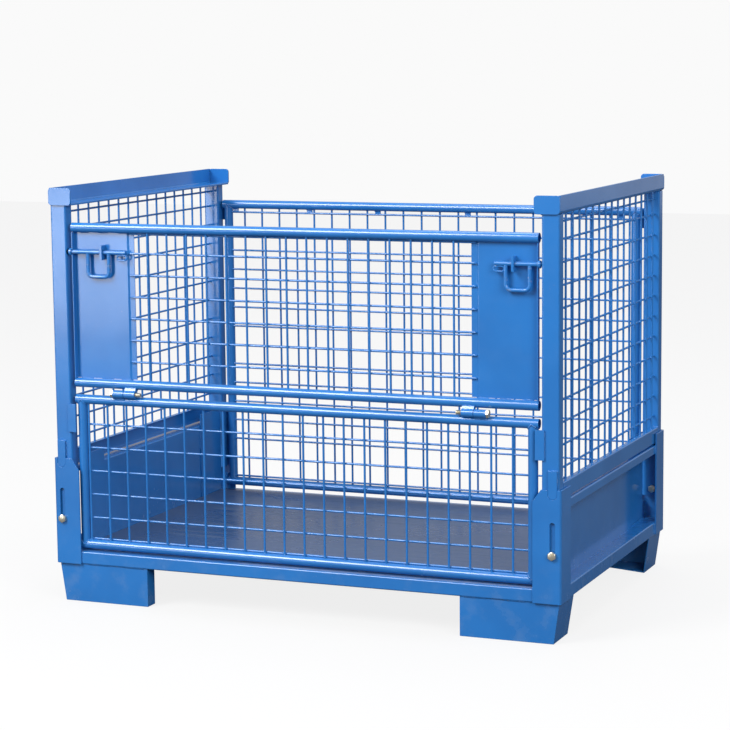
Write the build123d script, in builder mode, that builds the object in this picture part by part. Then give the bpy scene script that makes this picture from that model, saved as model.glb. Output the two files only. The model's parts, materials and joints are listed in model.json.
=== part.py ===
from build123d import *
import math
import os

# Stacking wire mesh container with lift-off side walls, a two-part drop gate and a folding rear wall.
# X runs along the gate, Y from the gate to the rear, Z up. The origin is on the ground under the middle.

# Overall sizes
LENGTH = 1240.0
DEPTH = 840.0
HEIGHT = 970.0

# Base
FOOT_HEIGHT = 90.0
RAIL_HEIGHT = 30.0
RAIL_DEPTH = 40.0
RAIL_END_GAP = 4.0
RAIL_TO_SIDE_GAP = 2.0
BASE_SHEET = 3.0
BASE_BEND = 2.0
CORNER_SHEET = 4.0
CORNER_PLATE_HEIGHT = 250.0
CORNER_FRONT_LEG = 65.0
CORNER_SIDE_LEG = 70.0
CORNER_CHAMFER_WIDTH = 19.0
CORNER_CHAMFER_HEIGHT = 27.0
CORNER_BEND = 4.0
SIDE_LEDGE_HEIGHT = 191.0
SIDE_RECESS = 35.0
SIDE_LIP = 20.0
SIDE_WINDOW = 106.0
WINDOW_MARGIN = 6.0
FLOOR_END_GAP = 0.5
INNER_PLATE_LENGTH = 115.0
BEARER_WIDTH = 60.0
BEARER_SPACING = 280.0
BEARER_HEIGHT = 25.0

# Feet
FOOT_SETBACK = 7.5
FOOT_INNER_X = 385.0
FOOT_TAPER = 13.0
FOOT_DEPTH = 105.0
FOOT_INNER_DEPTH = 36.0

# Side walls
POST_WIDTH = 40.0
POST_DEPTH = 30.0
POST_WALL = 3.0
POST_CORNER = 4.0
POST_SETBACK = 6.0
POST_TAIL = 17.0
STACK_RAIL_HEIGHT = 40.0
STACK_RAIL_OVERHANG = 16.0
STACK_SHEET = 5.0
STACK_SETBACK = 4.0
END_PLATE_CORNER = 8.0
BOTTOM_RAIL_HEIGHT = 37.0
BOTTOM_RAIL_WIDTH = 13.0
BOTTOM_RAIL_SHEET = 2.0
LEDGE_GAP = 4.0

# Lift and lock of the side walls
PIVOT_HEIGHT = 197.0
PIVOT_INSET = 20.0
BOLT_DIAMETER = 10.0
BOLT_CLEARANCE = 0.1
BOLT_HEAD_ACROSS = 17.0
BOLT_HEAD_HEIGHT = 6.4
BOLT_HEAD_GAP = 0.3
BOLT_NUT_HEIGHT = 7.5
LIFT = 65.0
SLOT_CLEARANCE = 1.0
SLOT_OVERRUN = 1.0
LUG_WIDTH = 20.0
LUG_THICKNESS = 5.0
LUG_HEIGHT = 62.0
LUG_CLEARANCE = 0.3
NOTCH_DEPTH = 21.0

# Wire and gate tube
WIRE = 5.0
WIRE_PITCH = 49.5
TUBE = 22.0
TUBE_WALL = 2.0
GATE_FRONT_GAP = 10.0
GATE_END_GAP = 9.0
TUBE_OVERHANG = 3.5
UPRIGHT_FORWARD = 1.5
WIRE_END_SPACE = 5.0

# Side wall mesh
SIDE_UPRIGHT_INSET = 13.5
SIDE_TOP_WIRE = 18.0
SIDE_SECOND_WIRE = 56.0

# Gate heights
GATE_FLOOR_GAP = 2.4
REAR_FLOOR_GAP = 9.0
HINGE_HEIGHT = 497.0
HINGE_ABOVE_LOWER = 6.7
HINGE_BELOW_UPPER = 10.5
TOP_TUBE_DROP = 51.0
GATE_CROSS_DROP = 58.8
LOWER_CROSS_PITCH = 55.2
UPPER_CROSS_DROP = 58.0
CROSS_PITCH = 50.0
REAR_EDGE_DROP = 20.0

# Gate pivots
PIVOT_PLATE = 6.0
PIVOT_PLATE_GAP = 2.0
PIVOT_PLATE_MARGIN = 2.0
PIVOT_PLATE_REAR_MARGIN = 1.5
PIVOT_PLATE_ABOVE = 20.0
PIN_REACH = 15.0
PIN_CLEARANCE = 0.1

# Drop gate hinges
KNUCKLE_WALL = 4.0
KNUCKLE_LENGTH = 28.0
KNUCKLE_GAP = 1.0
LEFT_HINGE_X = -433.5
RIGHT_HINGE_X = 420.5
EAR_WIDTH = 12.0
HINGE_BOLT_TAIL = 13.0
HINGE_NUT_ACROSS = 16.0

# Upper gate panels
PANEL_SHEET = 2.0
PANEL_WIDTH = 155.0
PANEL_STEP_WIDTH = 15.0
PANEL_BEND = 2.0
PANEL_END_GAP = 10.0
PANEL_FLANGE = 15.0

# Slide bolts
ROD = 10.0
ROD_DROP = 107.0
ROD_SETBACK = 15.0
ROD_TIP_GAP = 0.5
ROD_HOLE_CLEARANCE = 3.0
ROD_GUIDE_CLEARANCE = 0.5
GRIP_ROD = 9.0
GRIP_SPAN = 54.0
GRIP_DROP = 61.0
GRIP_BEND = 12.0
LEFT_GRIP = 51.0
RIGHT_GRIP = 29.0
LEFT_TAIL = 153.0
RIGHT_TAIL = 112.0
GUIDE_PLATE = 6.0
GUIDE_HEIGHT = 33.0
LEFT_GUIDE = 38.0
RIGHT_GUIDE = 36.0
GUIDE_NOSE = 9.5
EYE_LENGTH = 28.0
EYE_HEIGHT = 15.0
EYE_SHEET = 4.0
EYE_OVERLAP = 1.0
KEEPER_WALL = 3.0
KEEPER_LENGTH = 6.0

# Stop plates and welded tabs
STOP_WIDTH = 21.0
STOP_OVERLAP = 7.0
STOP_SHEET = 4.0
GATE_STOP_BOTTOM = 403.0
GATE_STOP_HEIGHT = 66.0
REAR_STOP_DROP = 93.0
REAR_STOP_HEIGHT = 49.0
TAB_END_GAP = 9.5
TAB_FROM_FIRST_WIRE = (21.5, 419.5, 663.5, 853.5)
TAB_WIDTH = 15.0
TAB_SHEET = 3.0

# Places worked out from the sizes above
HALF_LENGTH = LENGTH / 2
HALF_DEPTH = DEPTH / 2
DECK = FOOT_HEIGHT + RAIL_HEIGHT
FLOOR_TOP = DECK + BASE_SHEET
CORNER_TOP = FOOT_HEIGHT + CORNER_PLATE_HEIGHT
LEDGE_TOP = DECK + SIDE_LEDGE_HEIGHT
SIDE_FACE = HALF_LENGTH - CORNER_SHEET
WEB_OUTER = SIDE_FACE - SIDE_RECESS
WEB_INNER = WEB_OUTER - BASE_SHEET
POST_OUTER = HALF_LENGTH - POST_SETBACK
POST_INNER = POST_OUTER - POST_WIDTH
POST_TOP = HEIGHT - STACK_RAIL_HEIGHT
POST_BACK = POST_SETBACK + POST_DEPTH
PIVOT_X = HALF_LENGTH - PIVOT_INSET
TUBE_R = TUBE / 2
TUBE_BORE_R = TUBE_R - TUBE_WALL
SLOT_WIDTH = BOLT_DIAMETER + 2 * SLOT_CLEARANCE
KNUCKLE = BOLT_DIAMETER + 2 * KNUCKLE_WALL
ROD_HOLE = ROD + 2 * ROD_HOLE_CLEARANCE
ROD_GUIDE_HOLE = ROD + 2 * ROD_GUIDE_CLEARANCE
KEEPER = ROD_GUIDE_HOLE + 2 * KEEPER_WALL
STACK_RAIL_WIDTH = POST_SETBACK - STACK_SETBACK + POST_WIDTH + STACK_RAIL_OVERHANG
GATE_SETBACK = GATE_FRONT_GAP + TUBE_R
UPRIGHT_SETBACK = GATE_SETBACK - UPRIGHT_FORWARD
PIVOT_PLATE_SETBACK = GATE_FRONT_GAP - PIVOT_PLATE_MARGIN
PIVOT_PLATE_DEPTH = TUBE + PIVOT_PLATE_MARGIN + PIVOT_PLATE_REAR_MARGIN
GATE_END = POST_INNER - GATE_END_GAP
SIDE_TUBE_X = GATE_END - TUBE_OVERHANG - TUBE_R
CROSS_SETBACK = UPRIGHT_SETBACK + WIRE
PANEL_SETBACK = CROSS_SETBACK + WIRE / 2 - PANEL_SHEET / 2
LOWER_BOTTOM = FLOOR_TOP + TUBE_R + GATE_FLOOR_GAP
LOWER_TOP = HINGE_HEIGHT - HINGE_ABOVE_LOWER - TUBE_R
UPPER_BOTTOM = HINGE_HEIGHT + HINGE_BELOW_UPPER + TUBE_R
GATE_TOP = POST_TOP - TOP_TUBE_DROP
REAR_BOTTOM = FLOOR_TOP + TUBE_R + REAR_FLOOR_GAP
PANEL_OUTER = POST_INNER - PANEL_END_GAP
PANEL_INNER = PANEL_OUTER - PANEL_WIDTH
ROD_HEIGHT = POST_TOP - ROD_DROP
PLATE_SLOT_LOW = PIVOT_HEIGHT - SLOT_OVERRUN
PLATE_SLOT_HIGH = PIVOT_HEIGHT + LIFT + SLOT_OVERRUN
LUG_CENTRE = CORNER_TOP - NOTCH_DEPTH + LUG_WIDTH / 2 + LUG_CLEARANCE
EDGE_WIRE_RISE = math.sqrt((TUBE_R + WIRE / 2) ** 2 - (CROSS_SETBACK - GATE_SETBACK) ** 2)


def depth(setback):
    """Y of a point this far behind the front face of the corner plates."""
    return setback - HALF_DEPTH


def front_plane(setback):
    """Plane for a sketch in X and Z; a negative extrude amount goes to the rear."""
    return Plane.XZ.offset(-depth(setback))


def spaced(first, last, pitch):
    """Places from first towards last, one pitch apart."""
    step = math.copysign(pitch, last - first)
    return [first + i * step for i in range(int((last - first) / step) + 1)]


def save(piece, label):
    """Label a finished piece and write it to its own file."""
    piece.label = label
    export_step(piece, f"parts/{label}.step")


def save_sides(piece, label):
    """Write a right-hand piece and its mirror image on the left."""
    save(piece, f"right_{label}")
    save(mirror(piece, about=Plane.YZ), f"left_{label}")


def save_corners(piece, label):
    """Write a front right piece and its mirror images at the other three corners."""
    rear = mirror(piece, about=Plane.XZ)
    save(piece, f"front_right_{label}")
    save(mirror(piece, about=Plane.YZ), f"front_left_{label}")
    save(rear, f"rear_right_{label}")
    save(mirror(rear, about=Plane.YZ), f"rear_left_{label}")


def wires_along_x(low, high, y, heights):
    """Straight wires along X, one at each height."""
    with BuildPart() as wires:
        with BuildSketch(Plane.YZ.offset(low)):
            with Locations([(y, z) for z in heights]):
                Circle(WIRE / 2)
        extrude(amount=high - low)
    return wires.part


def upright_wires(low, high, places):
    """Straight upright wires, one at each X, Y place."""
    with BuildPart() as wires:
        with BuildSketch(Plane.XY.offset(low)):
            with Locations(places):
                Circle(WIRE / 2)
        extrude(amount=high - low)
    return wires.part


def gate_tube(y, z):
    """Round tube across the container, open at both ends."""
    with BuildPart() as tube:
        with BuildSketch(Plane.YZ.offset(-GATE_END)):
            with Locations((y, z)):
                Circle(TUBE_R)
                Circle(TUBE_BORE_R, mode=Mode.SUBTRACT)
        extrude(amount=2 * GATE_END)
    return tube.part


def gate_side_tubes(y, bottom, top):
    """Two upright tubes, coped round the tubes they are welded to."""
    with BuildPart() as tubes:
        with BuildSketch(Plane.XY.offset(bottom)):
            with Locations((-SIDE_TUBE_X, y), (SIDE_TUBE_X, y)):
                Circle(TUBE_R)
                Circle(TUBE_BORE_R, mode=Mode.SUBTRACT)
        extrude(amount=top - bottom)
        with BuildSketch(Plane.YZ.offset(-GATE_END)):
            with Locations((y, bottom), (y, top)):
                Circle(TUBE_R)
        extrude(amount=2 * GATE_END, mode=Mode.SUBTRACT)
    return tubes.part


os.makedirs("parts", exist_ok=True)

# ---------------------------------------------------------------- base

with BuildPart() as corner_plate:
    with BuildSketch(Plane.XY.offset(FOOT_HEIGHT)):
        with BuildLine():
            FilletPolyline(
                (HALF_LENGTH - CORNER_FRONT_LEG, depth(CORNER_SHEET / 2)),
                (HALF_LENGTH - CORNER_SHEET / 2, depth(CORNER_SHEET / 2)),
                (HALF_LENGTH - CORNER_SHEET / 2, depth(CORNER_SIDE_LEG)),
                radius=CORNER_BEND,
            )
        trace(line_width=CORNER_SHEET)
    extrude(amount=CORNER_PLATE_HEIGHT)
    plate_edge = HALF_LENGTH - CORNER_FRONT_LEG
    with BuildSketch(front_plane(0)):
        with BuildLine():
            Polyline(
                (plate_edge, CORNER_TOP - CORNER_CHAMFER_HEIGHT),
                (plate_edge + CORNER_CHAMFER_WIDTH, CORNER_TOP),
                (plate_edge, CORNER_TOP),
                close=True,
            )
        make_face()
        with Locations((PIVOT_X, LUG_CENTRE)):
            Circle(LUG_WIDTH / 2 + LUG_CLEARANCE)
        with Locations((PIVOT_X, LUG_CENTRE)):
            Rectangle(LUG_WIDTH + 2 * LUG_CLEARANCE, NOTCH_DEPTH, align=(Align.CENTER, Align.MIN))
        with Locations((PIVOT_X, (PLATE_SLOT_LOW + PLATE_SLOT_HIGH) / 2)):
            SlotCenterToCenter(PLATE_SLOT_HIGH - PLATE_SLOT_LOW, SLOT_WIDTH, rotation=90)
    extrude(amount=-CORNER_SHEET, mode=Mode.SUBTRACT)
save_corners(corner_plate.part, "corner_plate")

with BuildPart() as foot:
    foot_outer_top = POST_OUTER
    foot_outer_bottom = foot_outer_top - FOOT_TAPER
    with BuildSketch(front_plane(FOOT_SETBACK)):
        with BuildLine():
            Polyline(
                (FOOT_INNER_X, 0),
                (foot_outer_bottom, 0),
                (foot_outer_top, FOOT_HEIGHT),
                (FOOT_INNER_X, FOOT_HEIGHT),
                close=True,
            )
        make_face()
    extrude(amount=-FOOT_DEPTH)
    with BuildSketch(front_plane(FOOT_SETBACK + BASE_SHEET)):
        with BuildLine():
            Polyline(
                (FOOT_INNER_X + BASE_SHEET, BASE_SHEET),
                (foot_outer_bottom - BASE_SHEET, BASE_SHEET),
                (foot_outer_top - BASE_SHEET, FOOT_HEIGHT),
                (FOOT_INNER_X + BASE_SHEET, FOOT_HEIGHT),
                close=True,
            )
        make_face()
    extrude(amount=-FOOT_DEPTH, mode=Mode.SUBTRACT)
    with BuildSketch():
        with BuildLine():
            Polyline(
                (FOOT_INNER_X, depth(FOOT_SETBACK + FOOT_INNER_DEPTH)),
                (foot_outer_top, depth(FOOT_SETBACK + FOOT_DEPTH)),
                (FOOT_INNER_X, depth(FOOT_SETBACK + FOOT_DEPTH)),
                close=True,
            )
        make_face()
    extrude(amount=FOOT_HEIGHT, mode=Mode.SUBTRACT)
save_corners(foot.part, "foot")

with BuildPart() as front_rail:
    rail_half = SIDE_FACE - RAIL_END_GAP
    with BuildSketch(Plane.YZ.offset(-rail_half)):
        with BuildLine():
            FilletPolyline(
                (depth(CORNER_SHEET + RAIL_DEPTH), FOOT_HEIGHT + BASE_SHEET / 2),
                (depth(CORNER_SHEET + BASE_SHEET / 2), FOOT_HEIGHT + BASE_SHEET / 2),
                (depth(CORNER_SHEET + BASE_SHEET / 2), DECK - BASE_SHEET / 2),
                (depth(CORNER_SHEET + RAIL_DEPTH), DECK - BASE_SHEET / 2),
                radius=BASE_BEND,
            )
        trace(line_width=BASE_SHEET)
    extrude(amount=2 * rail_half)
save(front_rail.part, "front_rail")
save(mirror(front_rail.part, about=Plane.XZ), "rear_rail")

SIDE_END = CORNER_SHEET + RAIL_DEPTH + RAIL_TO_SIDE_GAP
with BuildPart() as side_panel:
    with BuildSketch(front_plane(SIDE_END)):
        with BuildLine():
            FilletPolyline(
                (SIDE_FACE - BASE_SHEET / 2, FOOT_HEIGHT),
                (SIDE_FACE - BASE_SHEET / 2, DECK - BASE_SHEET / 2),
                (WEB_OUTER - BASE_SHEET / 2, DECK - BASE_SHEET / 2),
                (WEB_OUTER - BASE_SHEET / 2, LEDGE_TOP - BASE_SHEET / 2),
                (SIDE_FACE - BASE_SHEET / 2, LEDGE_TOP - BASE_SHEET / 2),
                (SIDE_FACE - BASE_SHEET / 2, LEDGE_TOP - SIDE_LIP),
                radius=BASE_BEND,
            )
        trace(line_width=BASE_SHEET)
    extrude(amount=-(DEPTH - 2 * SIDE_END))
    window_middle = depth(SIDE_END + SIDE_WINDOW / 2)
    web_height = LEDGE_TOP - DECK - 2 * WINDOW_MARGIN
    with Locations(
        (WEB_INNER, window_middle, (DECK + LEDGE_TOP) / 2),
        (WEB_INNER, -window_middle, (DECK + LEDGE_TOP) / 2),
    ):
        Box(2 * SIDE_LIP, SIDE_WINDOW, web_height, mode=Mode.SUBTRACT)
save_sides(side_panel.part, "side_panel")

with BuildPart() as inner_corner_plates:
    with Locations((WEB_INNER - BASE_SHEET / 2, depth(SIDE_END + INNER_PLATE_LENGTH / 2), FLOOR_TOP)):
        Box(
            BASE_SHEET,
            INNER_PLATE_LENGTH,
            CORNER_TOP - FLOOR_TOP,
            align=(Align.CENTER, Align.CENTER, Align.MIN),
        )
    mirror(about=Plane.XZ)
    mirror(about=Plane.YZ)
save(inner_corner_plates.part, "inner_corner_plates")

with BuildPart() as floor_plate:
    floor_setback = PIVOT_PLATE_SETBACK + PIVOT_PLATE_DEPTH + FLOOR_END_GAP
    with Locations((0, 0, DECK)):
        Box(
            2 * WEB_INNER,
            DEPTH - 2 * floor_setback,
            BASE_SHEET,
            align=(Align.CENTER, Align.CENTER, Align.MIN),
        )
save(floor_plate.part, "floor_plate")

with BuildPart() as floor_bearers:
    bearer_end = CORNER_SHEET + RAIL_DEPTH
    with BuildSketch(front_plane(bearer_end)):
        with Locations([(x, DECK - BEARER_HEIGHT) for x in (-BEARER_SPACING, 0, BEARER_SPACING)]):
            Rectangle(BEARER_WIDTH, BEARER_HEIGHT, align=(Align.CENTER, Align.MIN))
            Rectangle(
                BEARER_WIDTH - 2 * BASE_SHEET,
                BEARER_HEIGHT - BASE_SHEET,
                align=(Align.CENTER, Align.MIN),
                mode=Mode.SUBTRACT,
            )
    extrude(amount=-(DEPTH - 2 * bearer_end))
save(floor_bearers.part, "floor_bearers")

GATE_PIVOTS = ((depth(GATE_SETBACK), LOWER_BOTTOM), (-depth(GATE_SETBACK), REAR_BOTTOM))
with BuildPart() as gate_pivot_plates:
    with BuildSketch(Plane.YZ.offset(GATE_END + PIVOT_PLATE_GAP)):
        for pivot_y, pivot_z in GATE_PIVOTS:
            plate_y = math.copysign(-depth(PIVOT_PLATE_SETBACK + PIVOT_PLATE_DEPTH / 2), pivot_y)
            with Locations((plate_y, DECK)):
                Rectangle(
                    PIVOT_PLATE_DEPTH,
                    pivot_z + PIVOT_PLATE_ABOVE - DECK,
                    align=(Align.CENTER, Align.MIN),
                )
    extrude(amount=PIVOT_PLATE)
    mirror(about=Plane.YZ)
save(gate_pivot_plates.part, "gate_pivot_plates")

with BuildPart() as gate_pivot_pins:
    with BuildSketch(Plane.YZ.offset(GATE_END - PIN_REACH)):
        with Locations(GATE_PIVOTS):
            Circle(TUBE_BORE_R - PIN_CLEARANCE)
    extrude(amount=PIN_REACH + PIVOT_PLATE_GAP)
    mirror(about=Plane.YZ)
save(gate_pivot_pins.part, "gate_pivot_pins")

# ---------------------------------------------------------------- side walls

POST_CENTRE_X = (POST_INNER + POST_OUTER) / 2
POST_CENTRE_Y = depth(POST_SETBACK + POST_DEPTH / 2)
with BuildPart() as post:
    with BuildSketch(Plane.XY.offset(PIVOT_HEIGHT - POST_TAIL)):
        with Locations((POST_CENTRE_X, POST_CENTRE_Y)):
            RectangleRounded(POST_WIDTH, POST_DEPTH, POST_CORNER)
            RectangleRounded(
                POST_WIDTH - 2 * POST_WALL,
                POST_DEPTH - 2 * POST_WALL,
                POST_CORNER - POST_WALL,
                mode=Mode.SUBTRACT,
            )
    extrude(amount=POST_TOP - PIVOT_HEIGHT + POST_TAIL)
    with BuildSketch(front_plane(POST_SETBACK)):
        with Locations((PIVOT_X, PIVOT_HEIGHT)):
            Circle(BOLT_DIAMETER / 2 + BOLT_CLEARANCE)
    extrude(amount=-POST_DEPTH, mode=Mode.SUBTRACT)
save_sides(mirror(post.part, about=Plane.XZ), "rear_post")

with BuildPart() as front_post:
    add(post.part)
    with BuildSketch(Plane.YZ.offset(POST_INNER)):
        with Locations((depth(ROD_SETBACK), ROD_HEIGHT)):
            Circle(ROD_HOLE / 2)
    extrude(amount=POST_WALL, mode=Mode.SUBTRACT)
save_sides(front_post.part, "front_post")

STACK_OUTER = HALF_LENGTH - STACK_SETBACK
STACK_INNER = STACK_OUTER - STACK_RAIL_WIDTH
with BuildPart() as stacking_rail:
    with BuildSketch(front_plane(POST_SETBACK)):
        with BuildLine():
            FilletPolyline(
                (STACK_INNER, POST_TOP + STACK_SHEET / 2),
                (STACK_OUTER - STACK_SHEET / 2, POST_TOP + STACK_SHEET / 2),
                (STACK_OUTER - STACK_SHEET / 2, HEIGHT),
                radius=STACK_SHEET,
            )
        trace(line_width=STACK_SHEET)
    extrude(amount=-(DEPTH - 2 * POST_SETBACK))
save_sides(stacking_rail.part, "stacking_rail")

with BuildPart() as rail_end_plates:
    with BuildSketch(front_plane(POST_SETBACK - STACK_SHEET)):
        with Locations(((STACK_INNER + STACK_OUTER) / 2, POST_TOP)):
            plate = Rectangle(STACK_RAIL_WIDTH, STACK_RAIL_HEIGHT, align=(Align.CENTER, Align.MIN))
        fillet(plate.vertices().group_by(Axis.Z)[0], radius=END_PLATE_CORNER)
    extrude(amount=-STACK_SHEET)
    mirror(about=Plane.XZ)
save_sides(rail_end_plates.part, "rail_end_plates")

BOTTOM_RAIL_LOW = LEDGE_TOP + LEDGE_GAP
BOTTOM_RAIL_TOP = BOTTOM_RAIL_LOW + BOTTOM_RAIL_HEIGHT
with BuildPart() as bottom_rail:
    rail_web = POST_OUTER - BOTTOM_RAIL_SHEET / 2
    with BuildSketch(front_plane(POST_BACK)):
        with BuildLine():
            FilletPolyline(
                (POST_OUTER - BOTTOM_RAIL_WIDTH, BOTTOM_RAIL_LOW + BOTTOM_RAIL_SHEET / 2),
                (rail_web, BOTTOM_RAIL_LOW + BOTTOM_RAIL_SHEET / 2),
                (rail_web, BOTTOM_RAIL_TOP - BOTTOM_RAIL_SHEET / 2),
                (POST_OUTER - BOTTOM_RAIL_WIDTH, BOTTOM_RAIL_TOP - BOTTOM_RAIL_SHEET / 2),
                radius=BOTTOM_RAIL_SHEET,
            )
        trace(line_width=BOTTOM_RAIL_SHEET)
    extrude(amount=-(DEPTH - 2 * POST_BACK))
save_sides(bottom_rail.part, "bottom_rail")

side_wire_x = HALF_LENGTH - SIDE_UPRIGHT_INSET
wire_room = -depth(POST_BACK) - WIRE_END_SPACE
middle_out = spaced(0, wire_room, WIRE_PITCH)
side_places = [(side_wire_x, y) for y in middle_out] + [(side_wire_x, -y) for y in middle_out[1:]]
save_sides(upright_wires(BOTTOM_RAIL_TOP, POST_TOP, side_places), "wall_uprights")

side_heights = [POST_TOP - SIDE_TOP_WIRE]
side_heights += spaced(POST_TOP - SIDE_SECOND_WIRE, BOTTOM_RAIL_TOP + WIRE_END_SPACE, WIRE_PITCH)
with BuildPart() as side_cross_wires:
    with BuildSketch(front_plane(POST_BACK)):
        with Locations([(side_wire_x - WIRE, z) for z in side_heights]):
            Circle(WIRE / 2)
    extrude(amount=-(DEPTH - 2 * POST_BACK))
save_sides(side_cross_wires.part, "wall_cross_wires")

with BuildPart() as locking_lugs:
    with BuildSketch(front_plane(POST_SETBACK - LUG_THICKNESS)):
        with Locations((PIVOT_X, LUG_CENTRE)):
            Circle(LUG_WIDTH / 2)
            Rectangle(LUG_WIDTH, LUG_HEIGHT - LUG_WIDTH / 2, align=(Align.CENTER, Align.MIN))
    extrude(amount=-LUG_THICKNESS)
    mirror(about=Plane.XZ)
save_sides(locking_lugs.part, "locking_lugs")

with BuildPart() as stop_plates:
    stop_x = POST_INNER + STOP_OVERLAP - STOP_WIDTH / 2
    with BuildSketch(front_plane(POST_SETBACK - STOP_SHEET)):
        with Locations((stop_x, GATE_STOP_BOTTOM)):
            Rectangle(STOP_WIDTH, GATE_STOP_HEIGHT, align=(Align.CENTER, Align.MIN))
    extrude(amount=-STOP_SHEET)
    with BuildSketch(front_plane(DEPTH - POST_SETBACK)):
        with Locations((stop_x, POST_TOP - REAR_STOP_DROP)):
            Rectangle(STOP_WIDTH, REAR_STOP_HEIGHT, align=(Align.CENTER, Align.MIN))
    extrude(amount=-STOP_SHEET)
save_sides(stop_plates.part, "stop_plates")

with BuildPart() as pivot_bolts:
    with BuildSketch(front_plane(-BOLT_HEAD_GAP - BOLT_HEAD_HEIGHT)):
        with Locations((PIVOT_X, PIVOT_HEIGHT)):
            RegularPolygon(BOLT_HEAD_ACROSS / 2, 6, major_radius=False)
    extrude(amount=-BOLT_HEAD_HEIGHT)
    with BuildSketch(front_plane(-BOLT_HEAD_GAP)):
        with Locations((PIVOT_X, PIVOT_HEIGHT)):
            Circle(BOLT_DIAMETER / 2)
    extrude(amount=-(POST_BACK + BOLT_NUT_HEIGHT))
    with BuildSketch(front_plane(POST_BACK)):
        with Locations((PIVOT_X, PIVOT_HEIGHT)):
            RegularPolygon(BOLT_HEAD_ACROSS / 2, 6, major_radius=False)
    extrude(amount=-BOLT_NUT_HEIGHT)
    mirror(about=Plane.XZ)
save_sides(pivot_bolts.part, "pivot_bolts")

# ---------------------------------------------------------------- lower gate

gate_y = depth(GATE_SETBACK)
mesh_low = -(SIDE_TUBE_X - TUBE_R - WIRE_END_SPACE)
upright_xs = spaced(mesh_low, SIDE_TUBE_X - TUBE_R - WIRE_END_SPACE, WIRE_PITCH)
cross_half = SIDE_TUBE_X - math.sqrt(TUBE_R**2 - (CROSS_SETBACK - WIRE / 2 - GATE_SETBACK) ** 2)
save(gate_tube(gate_y, LOWER_TOP), "lower_gate_top_tube")
save(gate_tube(gate_y, LOWER_BOTTOM), "lower_gate_bottom_tube")
save(gate_side_tubes(gate_y, LOWER_BOTTOM, LOWER_TOP), "lower_gate_side_tubes")
lower_places = [(x, depth(UPRIGHT_SETBACK)) for x in upright_xs]
save(upright_wires(LOWER_BOTTOM + TUBE_R, LOWER_TOP - TUBE_R, lower_places), "lower_gate_uprights")
lower_heights = spaced(
    LOWER_TOP - GATE_CROSS_DROP, LOWER_BOTTOM + TUBE_R + 2 * WIRE_END_SPACE, LOWER_CROSS_PITCH
)
lower_heights.append(LOWER_BOTTOM + EDGE_WIRE_RISE)
lower_cross = wires_along_x(-cross_half, cross_half, depth(CROSS_SETBACK), lower_heights)
save(lower_cross, "lower_gate_cross_wires")

# ---------------------------------------------------------------- drop gate hinges

HINGE_Y = depth(KNUCKLE / 2)


def knuckles(starts, tube_z):
    """Hinge barrels with an ear each, trimmed round the tube that carries them."""
    reach = Vector(gate_y - HINGE_Y, tube_z - HINGE_HEIGHT)
    lean = math.degrees(math.atan2(reach.Y, reach.X))
    with BuildPart() as barrels:
        for start in starts:
            with BuildSketch(Plane.YZ.offset(start)):
                with Locations((HINGE_Y, HINGE_HEIGHT)):
                    Circle(KNUCKLE / 2)
                    Rectangle(reach.length, EAR_WIDTH, rotation=lean, align=(Align.MIN, Align.CENTER))
                    Circle(BOLT_DIAMETER / 2 + BOLT_CLEARANCE, mode=Mode.SUBTRACT)
                with Locations((gate_y, tube_z)):
                    Circle(TUBE_R, mode=Mode.SUBTRACT)
            extrude(amount=KNUCKLE_LENGTH)
    return barrels.part


half_gap = KNUCKLE_GAP / 2
lower_starts = (LEFT_HINGE_X - half_gap - KNUCKLE_LENGTH, RIGHT_HINGE_X + half_gap)
upper_starts = (LEFT_HINGE_X + half_gap, RIGHT_HINGE_X - half_gap - KNUCKLE_LENGTH)
save(knuckles(lower_starts, LOWER_TOP), "lower_gate_knuckles")
save(knuckles(upper_starts, UPPER_BOTTOM), "upper_gate_knuckles")

with BuildPart() as hinge_bolts:
    for hinge_x, outward in ((LEFT_HINGE_X, -1), (RIGHT_HINGE_X, 1)):
        head_x = hinge_x + outward * (half_gap + KNUCKLE_LENGTH)
        tail_x = hinge_x - outward * (half_gap + KNUCKLE_LENGTH + HINGE_BOLT_TAIL)
        with BuildSketch(Plane.YZ.offset(head_x)):
            with Locations((HINGE_Y, HINGE_HEIGHT)):
                RegularPolygon(HINGE_NUT_ACROSS / 2, 6, major_radius=False)
        extrude(amount=outward * BOLT_HEAD_HEIGHT)
        with BuildSketch(Plane.YZ.offset(tail_x)):
            with Locations((HINGE_Y, HINGE_HEIGHT)):
                Circle(BOLT_DIAMETER / 2)
        extrude(amount=head_x - tail_x)
save(hinge_bolts.part, "hinge_bolts")

# ---------------------------------------------------------------- upper gate

save(gate_tube(gate_y, GATE_TOP), "upper_gate_top_tube")
save(gate_tube(gate_y, UPPER_BOTTOM), "upper_gate_bottom_tube")
panel_low = UPPER_BOTTOM + TUBE_R
panel_high = GATE_TOP - TUBE_R

with BuildPart() as panel:
    panel_y = depth(PANEL_SETBACK)
    step_x = PANEL_INNER + PANEL_STEP_WIDTH
    with BuildSketch(Plane.XY.offset(panel_low)):
        with BuildLine():
            FilletPolyline(
                (PANEL_INNER, panel_y + PANEL_SHEET),
                (step_x - PANEL_SHEET, panel_y + PANEL_SHEET),
                (step_x + PANEL_SHEET, panel_y),
                (PANEL_OUTER - PANEL_SHEET / 2, panel_y),
                (PANEL_OUTER - PANEL_SHEET / 2, panel_y - PANEL_FLANGE + PANEL_SHEET / 2),
                radius=PANEL_BEND,
            )
        trace(line_width=PANEL_SHEET)
    extrude(amount=panel_high - panel_low)
    with BuildSketch(Plane.YZ.offset(PANEL_OUTER - 2 * PANEL_SHEET)):
        with Locations((depth(ROD_SETBACK), ROD_HEIGHT)):
            Circle(ROD_GUIDE_HOLE / 2)
    extrude(amount=3 * PANEL_SHEET, mode=Mode.SUBTRACT)
save(panel.part, "upper_gate_right_panel")
save(mirror(panel.part, about=Plane.YZ), "upper_gate_left_panel")

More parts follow.
